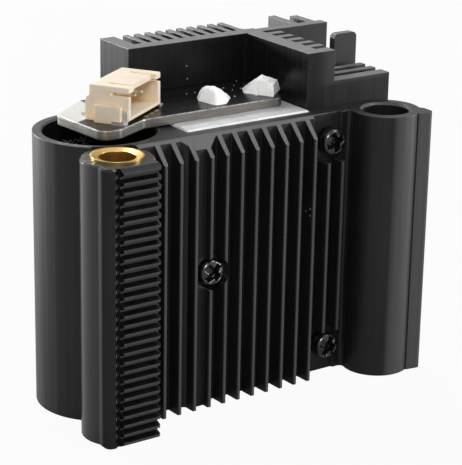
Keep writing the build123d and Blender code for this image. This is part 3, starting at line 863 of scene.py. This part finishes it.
def add_piece(name: str, shape: bmesh.types.BMesh, finish: Finish, replaced: Sequence[str] = (),
              smooth: bool = True) -> None:
    """Turn a bmesh in millimetres into a piece of the module.

    Args:
        name: the piece's name.
        shape: its mesh, which is freed.
        finish: its finish.
        replaced: CAD nodes that it stands for.
        smooth: whether its faces are shaded smooth.
    """
    bmesh.ops.scale(shape, vec=(MM, MM, MM), verts=shape.verts)
    bmesh.ops.recalc_face_normals(shape, faces=shape.faces)
    mesh = bpy.data.meshes.new(name)
    shape.to_mesh(mesh)
    shape.free()
    for face in mesh.polygons:
        face.use_smooth = smooth
    mesh.materials.append(finish.material())
    piece = bpy.data.objects.new(name, mesh)
    bpy.context.scene.collection.objects.link(piece)
    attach(piece, "root")
    if replaced:
        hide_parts(*replaced)
    LOG.info("built %s with %d faces", name, len(mesh.polygons))


def join_rings(shape: bmesh.types.BMesh, rings: Sequence[Sequence[Vector]]) -> None:
    """Skin closed rings of points one after another and close both ends.

    Args:
        shape: the mesh that gets the faces.
        rings: rings with the same number of points each.
    """
    rows = [[shape.verts.new(point) for point in ring] for ring in rings]
    count = len(rows[0])
    for low, high in zip(rows, rows[1:]):
        for i in range(count):
            shape.faces.new((low[i], low[(i + 1) % count], high[(i + 1) % count], high[i]))
    shape.faces.new(list(reversed(rows[0])))
    shape.faces.new(rows[-1])


def clamp(value: float) -> float:
    """Value kept between 0 and 1."""
    return max(0.0, min(1.0, value))


def directions(count: int) -> list[float]:
    """Angles of a full turn in equal steps, in radians."""
    return [2 * math.pi * i / count for i in range(count)]


@dataclass
class Carriage:
    """Finned carriage extrusion, with the lint that lies in its wide tube's mouth."""

    tube: Plan = (5.2, 14.2)
    bore: float = 9.5
    height: float = 47.5
    seed: int = 4
    fibres: int = 9
    steps: int = 9
    fibre_radius: float = 0.06
    corners: tuple[float, ...] = (0.0, 2.1, 4.2)
    turns: Span = (72, 98)
    depths: Span = (4.0, 6.0)
    lengths: Span = (0.1, 0.22)
    waves: Span = (-0.9, 0.9)
    gap: float = 0.05
    arch: float = 0.55
    wave_rate: float = 2.5

    def build(self) -> None:
        """Dress the extrusion and lay the lint."""
        dress(CARRIAGE_BLACK, "carriage")
        self.lay_lint()

    def lay_lint(self) -> None:
        """Short pale fibres that cling to the bore's wall below its mouth."""
        pick = random.Random(self.seed)
        shape = bmesh.new()
        for _ in range(self.fibres):
            turn = math.radians(pick.uniform(*self.turns))
            level = self.height - pick.uniform(*self.depths)
            length = pick.uniform(*self.lengths)
            wave = pick.uniform(*self.waves)
            rings = []
            for i in range(self.steps):
                t = i / (self.steps - 1)
                angle = turn + length * (t - HALF)
                reach = self.bore - self.gap - self.arch * math.sin(math.pi * t)
                rise = wave * math.sin(self.wave_rate * math.pi * t) * HALF
                centre = Vector((self.tube[0] + reach * math.cos(angle),
                                 self.tube[1] + reach * math.sin(angle), level + rise))
                rings.append([centre + self.fibre_radius * Vector((0, math.cos(a), math.sin(a)))
                              for a in self.corners])
            join_rings(shape, rings)
        add_piece("tube_lint", shape, FIBRE)


@dataclass
class HeatSink:
    """Heat sink extrusion behind the laser block, with its pad."""

    def build(self) -> None:
        """Dress the extrusion and the pad."""
        dress(SINK_BLACK, "heat_sink")
        dress(PAD_GREY, "thermal_pad")


@dataclass
class RackBar:
    """Rack bar with its two brass bushes."""

    def build(self) -> None:
        """Dress the bar and the bushes."""
        dress(RACK_BLACK, "rack_bar")
        dress(BRASS, "upper_bush", "lower_bush")


@dataclass
class PlateScrews:
    """Pan-head screws in the finned plate, with rounded heads and cross recesses."""

    seats: tuple[Point, ...] = ((18.7, 2.5, 23.975), (43.8, 2.9, 42.7), (43.8, 2.9, 5.25))
    turns: tuple[float, ...] = (44.0, 20.0, 62.0)
    head: float = 2.3
    height: float = 2.6
    wall: float = 0.68
    crown: float = 3.2
    shank: float = 1.2
    length: float = 5.75
    neck: float = 0.01
    recess: float = 1.78
    slot: float = 0.6
    depth: float = 1.6
    end_slope: float = 0.45
    side_slope: float = 0.12
    tip: float = 0.02
    rings: int = 30
    segments: int = 72

    def build(self) -> None:
        """Build the three screws as one group that stands for the CAD screws."""
        shape = bmesh.new()
        for seat, turn in zip(self.seats, self.turns):
            self.add_screw(shape, Matrix.Translation(seat) @ Matrix.Rotation(math.pi / 2, 4, "X")
                           @ Matrix.Rotation(math.radians(turn), 4, "Z"))
        add_piece("plate_screw_heads", shape, SCREW_BLACK, ["plate_screws"])

    def arm_depth(self, along: float, across: float) -> float:
        """Depth of one arm of the recess, which rises to its end and its sides."""
        end = clamp((self.recess - abs(along)) / self.end_slope)
        return self.depth * end * clamp((self.slot - abs(across)) / self.side_slope + HALF)

    def dome(self, radius: float) -> float:
        """Height of the head's dome at a radius."""
        bulge = math.sqrt(max(0.0, 1.0 - (radius / self.head) ** self.crown))
        return self.height * (self.wall + (1.0 - self.wall) * bulge)

    def add_screw(self, shape: bmesh.types.BMesh, place: Matrix) -> None:
        """Add one screw.

        Args:
            shape: the mesh of all screws.
            place: where the screw goes, with its head along local Z.
        """
        def circle(radius: float, z: Optional[float] = None) -> list[Vector]:
            """Ring of points at a radius, on the recessed dome if no height is given."""
            points = []
            for angle in directions(self.segments):
                x, y = radius * math.cos(angle), radius * math.sin(angle)
                level = z
                if z is None:
                    level = self.dome(radius) - max(self.arm_depth(x, y), self.arm_depth(y, x))
                points.append(place @ Vector((x, y, level)))
            return points
        rings = [circle(self.shank, -self.length), circle(self.shank, -self.neck), circle(self.head, 0.0)]
        rings += [circle(self.head * (1 - i / self.rings) + self.tip) for i in range(self.rings + 1)]
        join_rings(shape, rings)


@dataclass(frozen=True)
class Facet:
    """Plane of a bead's skin: slopes across and into the picture, and height over the bead's centre."""

    across: float
    into: float
    height: float


@dataclass
class SealantBead:
    """Blob of sealant over one diode's leads, standing for its CAD node.

    Its skin is the soft lower bound of a few facets, with a crumple over it that fades out at the rim.
    """

    side: Side
    centre: Plan
    facets: tuple[Facet, ...]
    sharpness: float
    crumple: float
    seed: int
    base: float = 49.4
    across: Plan = (0.82, -0.572)
    widest: float = 6.0
    seed_step: float = 0.37
    soft_rate: float = 0.55
    soft_height: float = 0.12
    fold_rate: float = 0.9
    fold_shift: Point = (5.0, 2.0, 0.0)
    fold_level: float = 0.3
    fine_rate: float = 2.7
    fine_height: float = 0.05
    rough_from: float = 0.7
    rim_tries: int = 24
    crowding: float = 0.8
    rings: int = 40
    segments: int = 110

    def height(self, u: float, w: float) -> float:
        """Height of the skin over the board.

        Args:
            u: place across the picture from the bead's centre.
            w: place into the picture from the bead's centre.

        Returns:
            The height, below 0 outside the bead.
        """
        total = sum(math.exp(-self.sharpness * (facet.height + facet.across * u + facet.into * w))
                    for facet in self.facets)
        smooth = -math.log(total) / self.sharpness
        place = Vector((u, w, self.seed_step * self.seed))
        soft = noise.noise(place * self.soft_rate)
        fold = self.fold_level - abs(noise.noise(place * self.fold_rate + Vector(self.fold_shift)))
        fine = noise.noise(place * self.fine_rate)
        rough = self.soft_height * soft + self.crumple * fold + self.fine_height * fine
        return smooth + rough * clamp(smooth / self.rough_from)

    def rim(self, angle: float) -> float:
        """Distance from the centre at which the skin meets the board.

        Args:
            angle: direction in the picture's own axes.

        Returns:
            The distance.
        """
        low, high = 0.0, self.widest
        for _ in range(self.rim_tries):
            middle = (low + high) / 2
            if self.height(middle * math.cos(angle), middle * math.sin(angle)) > 0.0:
                low = middle
            else:
                high = middle
        return low

    def ring(self, t: float, reaches: Sequence[float]) -> list[Vector]:
        """Closed line of the skin.

        Args:
            t: share of the way from the centre to the rim.
            reaches: the rim's distance in each direction.

        Returns:
            Its points.
        """
        points = []
        for angle, reach in zip(directions(self.segments), reaches):
            u, w = t * reach * math.cos(angle), t * reach * math.sin(angle)
            x = self.centre[0] + self.across[0] * u - self.across[1] * w
            y = self.centre[1] + self.across[1] * u + self.across[0] * w
            points.append(Vector((x, y, self.base + max(self.height(u, w), 0.0))))
        return points

    def build(self) -> None:
        """Build the bead in place of its CAD node."""
        reaches = [self.rim(angle) for angle in directions(self.segments)]
        shape = bmesh.new()
        shares = [(i / self.rings) ** self.crowding for i in range(self.rings, 0, -1)]
        join_rings(shape, [self.ring(share, reaches) for share in shares])
        add_piece("bead_" + self.side.value, shape, SILICONE, ["sealant_bead_" + self.side.value])


LEFT_BEAD = SealantBead(
    Side.LEFT, (27.1, 13.5),
    (Facet(3.0, 0.3, 7.7), Facet(0.65, 0.0, 3.3), Facet(-0.4, 0.0, 2.5), Facet(-1.35, 0.25, 3.55),
     Facet(1.65, 1.7, 4.4), Facet(-1.0, 1.7, 5.6), Facet(0.0, -1.5, 4.2)),
    sharpness=2.8, crumple=0.24, seed=3)
RIGHT_BEAD = SealantBead(
    Side.RIGHT, (37.4, 14.1),
    (Facet(0.95, 0.1, 2.8), Facet(-0.4, 0.15, 3.0), Facet(-5.5, 1.2, 16.5), Facet(0.9, 2.1, 4.3),
     Facet(0.0, -1.7, 4.6)),
    sharpness=7.0, crumple=0.22, seed=5)


@dataclass
class DriverBoard:
    """Driver board with its solder dots and sealant beads."""

    top: float = 49.4
    dots: tuple[Plan, ...] = (
        (25.86, 19.76), (27.62, 19.82), (33.57, 19.88), (34.18, 17.93), (36.18, 20.36), (38.39, 22.74),
        (38.13, 20.1), (36.05, 18.1), (29.81, 14.85), (32.08, 14.13), (31.2, 17.6))
    dot_radius: float = 0.17
    dot_sizes: Span = (0.6, 1.3)
    dot_profile: tuple[Plan, ...] = ((1.0, 0.0), (0.96, 0.05), (0.7, 0.13), (0.3, 0.18))
    dot_rise: float = 0.6
    dot_sides: int = 14
    seed: int = 11

    def build(self) -> None:
        """Dress the board and build what lies on it."""
        dress(BOARD_BLACK, "circuit_board")
        self.add_dots()
        for bead in (LEFT_BEAD, RIGHT_BEAD):
            bead.build()

    def add_dots(self) -> None:
        """Low tinned dots where leads and vias come through."""
        pick = random.Random(self.seed)
        shape = bmesh.new()
        for x, y in self.dots:
            size = self.dot_radius * pick.uniform(*self.dot_sizes)
            rings = []
            for reach, rise in self.dot_profile:
                level = self.top + rise * self.dot_rise
                rings.append([Vector((x + reach * size * math.cos(a), y + reach * size * math.sin(a), level))
                              for a in directions(self.dot_sides)])
            join_rings(shape, rings)
        add_piece("board_solder_dots", shape, SOLDER)


@dataclass
class PowerSocket:
    """Cream side-entry socket, turned on the board, with its contacts and the gilt pads before it."""

    corner: Point = (7.0, 8.05, 49.4)
    turn: float = 33.5
    pad_starts: tuple[float, ...] = (5.4, 7.3, 9.2)
    pad_size: Plan = (1.3, 0.55)
    pad_gap: float = 0.15
    pad_profile: tuple[Plan, ...] = ((0.0, 0.0), (0.0, 0.03), (0.08, 0.06))

    def build(self) -> None:
        """Dress the socket and lay the pads in front of its mouth."""
        dress(CREAM_NYLON, "connector_housing")
        dress(TIN, "connector_pins", "connector_tabs")
        self.add_pads()

    def add_pads(self) -> None:
        """Thin gilt pads on the board in front of the mouth."""
        place = Matrix.Translation(self.corner) @ Matrix.Rotation(math.radians(self.turn), 4, "Z")
        shape = bmesh.new()
        for start in self.pad_starts:
            x0, x1 = start, start + self.pad_size[0]
            y0, y1 = -self.pad_size[1] - self.pad_gap, -self.pad_gap
            rings = []
            for inset, z in self.pad_profile:
                rings.append([place @ Vector((x, y, z)) for x, y in (
                    (x0 + inset, y0 + inset), (x1 - inset, y0 + inset),
                    (x1 - inset, y1 - inset), (x0 + inset, y1 - inset))])
            join_rings(shape, rings)
        add_piece("board_pads", shape, GILT, smooth=False)


@dataclass
class LaserBlock:
    """Laser block with the optics inside it."""

    def build(self) -> None:
        """Dress the block, its cover and everything in it."""
        dress(BLOCK_METAL, "laser_block", "optics_cover")
        dress(SCREW_BLACK, "cover_screws")
        dress(SINK_BLACK, "window_ring")
        dress(TIN, "diode_leads")
        dress(BRASS, "clamp_rings", "lens_barrel_left", "lens_barrel_right")
        dress(GILT, "laser_diode_left", "laser_diode_right")
        dress(OPTIC, "fold_prism", "combining_cube", "exit_window")
        dress(OPTIC, "collimating_lens_left", "collimating_lens_right")


@dataclass
class Lamp:
    """Square studio lamp that points at the module, with its sizes in metres."""

    name: str
    place: Point
    size: float
    watts: float
    target: Point = (0.03, 0.012, 0.026)

    def build(self) -> None:
        """Add the lamp to the scene."""
        data = bpy.data.lights.new(self.name, "AREA")
        data.shape = "RECTANGLE"
        data.size = self.size
        data.size_y = self.size
        data.energy = self.watts
        lamp = bpy.data.objects.new(self.name, data)
        way = Vector(self.target) - Vector(self.place)
        aim = way.to_track_quat("-Z", "Y").to_matrix().to_4x4()
        lamp.matrix_world = Matrix.Translation(self.place) @ aim
        bpy.context.scene.collection.objects.link(lamp)


@dataclass
class Studio:
    """Pale floor, soft lamps and a white surround, with sizes in metres."""

    floor_size: float = 3.0
    floor_drop: float = 0.0001
    floor_colour: float = 0.32
    floor_seen: float = 0.95
    floor_mirrored: float = 0.1
    sky_seen: float = 1.0
    sky_mirrored: float = 0.52
    ambient: float = 0.32
    lamps: tuple[Lamp, ...] = (
        Lamp("key_lamp", (0.05, 0.62, 0.5), 0.35, 3.6),
        Lamp("left_lamp", (-0.23, 0.51, 0.08), 0.14, 5.2),
        Lamp("right_lamp", (0.6, -0.32, 0.09), 0.16, 3.0),
        Lamp("front_lamp", (-0.33, -0.53, 0.56), 0.3, 3.4),
        Lamp("chamfer_lamp", (0.46, -0.26, 0.67), 0.25, 1.3),
    )

    def build(self) -> None:
        """Build the floor, the surround and the lamps."""
        self.lay_floor()
        self.set_world()
        for lamp in self.lamps:
            lamp.build()
        bpy.context.scene.view_settings.view_transform = "Standard"

    @staticmethod
    def seen(graph: Graph, direct: float, mirrored: float) -> Term:
        """Share of the white that a ray sees.

        Args:
            graph: nodes of the floor or the surround.
            direct: share for the camera, also through glass.
            mirrored: share in a glossy surface.

        Returns:
            The share, which is 0 for the rays that only carry light.
        """
        camera, glossy, through = [graph.node("ShaderNodeLightPath", output="Is %s Ray" % kind)
                                   for kind in ("Camera", "Glossy", "Transmission")]
        return graph.maths("MINIMUM", (camera + through) * direct + glossy * mirrored, 1.0)

    def lay_floor(self) -> None:
        """Plain pale floor that glows for the camera but keeps the module's shadow."""
        made = bpy.data.materials.new("studio_floor")
        made.use_nodes = True
        graph = Graph(made.node_tree)
        paper = graph.node("ShaderNodeBsdfDiffuse", {}, {"Color": (self.floor_colour,) * 3})
        glow = graph.node("ShaderNodeEmission", {}, {"Color": WHITE, "Strength": 1.0})
        share = self.seen(graph, self.floor_seen, self.floor_mirrored)
        graph.finish(graph.node("ShaderNodeMixShader", {}, {0: share, 1: paper, 2: glow}))
        half = self.floor_size / 2
        corners = [(-half, -half, 0), (half, -half, 0), (half, half, 0), (-half, half, 0)]
        mesh = bpy.data.meshes.new("studio_floor")
        mesh.from_pydata(corners, [], [(0, 1, 2, 3)])
        mesh.materials.append(made)
        floor = bpy.data.objects.new("studio_floor", mesh)
        floor.location.z = CAD_BOX[0][2] - self.floor_drop
        bpy.context.scene.collection.objects.link(floor)

    def set_world(self) -> None:
        """White surround for what is seen directly, and a soft even light otherwise."""
        world = bpy.data.worlds.new("studio")
        world.use_nodes = True
        bpy.context.scene.world = world
        graph = Graph(world.node_tree)
        soft = graph.node("ShaderNodeBackground", {}, {"Color": WHITE, "Strength": self.ambient})
        white = graph.node("ShaderNodeBackground", {}, {"Color": WHITE, "Strength": 1.0})
        share = self.seen(graph, self.sky_seen, self.sky_mirrored)
        mixed = graph.node("ShaderNodeMixShader", {}, {0: share, 1: soft, 2: white})
        graph.finish(mixed, "ShaderNodeOutputWorld")


@dataclass
class PhotoCamera:
    """Camera that stands where the photograph was taken from, with its place in metres."""

    place: Point = (-0.14535, -0.24032, 0.13124)
    azimuth: float = -34.85
    elevation: float = 18.96
    roll: float = 1.08
    focal_pixels: float = 1863.5
    width_pixels: float = 462.0
    sensor: float = 36.0
    nearest: float = 0.01

    def build(self) -> None:
        """Add the camera and make it the scene's own."""
        turn, rise, roll = (math.radians(a) for a in (self.azimuth, self.elevation, self.roll))
        right = Vector((math.cos(turn), math.sin(turn), 0.0))
        back = Vector((math.sin(turn) * math.cos(rise), -math.cos(turn) * math.cos(rise), math.sin(rise)))
        up = back.cross(right)
        across = math.cos(roll) * right + math.sin(roll) * up
        above = -math.sin(roll) * right + math.cos(roll) * up
        data = bpy.data.cameras.new("photo_camera")
        data.sensor_fit = "HORIZONTAL"
        data.sensor_width = self.sensor
        data.lens = self.focal_pixels / self.width_pixels * self.sensor
        data.clip_start = self.nearest
        camera = bpy.data.objects.new("photo_camera", data)
        axes = Matrix((across, above, back)).transposed().to_4x4()
        camera.matrix_world = Matrix.Translation(self.place) @ axes
        bpy.context.scene.collection.objects.link(camera)
        bpy.context.scene.camera = camera


def main() -> None:
    """Build every sub-assembly in order, then the studio and the camera."""
    logging.basicConfig(level=logging.INFO, format="%(name)s: %(message)s")
    module = (Carriage(), HeatSink(), RackBar(), PlateScrews(), LaserBlock(), DriverBoard(), PowerSocket())
    for assembly in (*module, Studio(), PhotoCamera()):
        LOG.info("building %s", type(assembly).__name__)
        assembly.build()


if __name__ == "__main__":
    main()
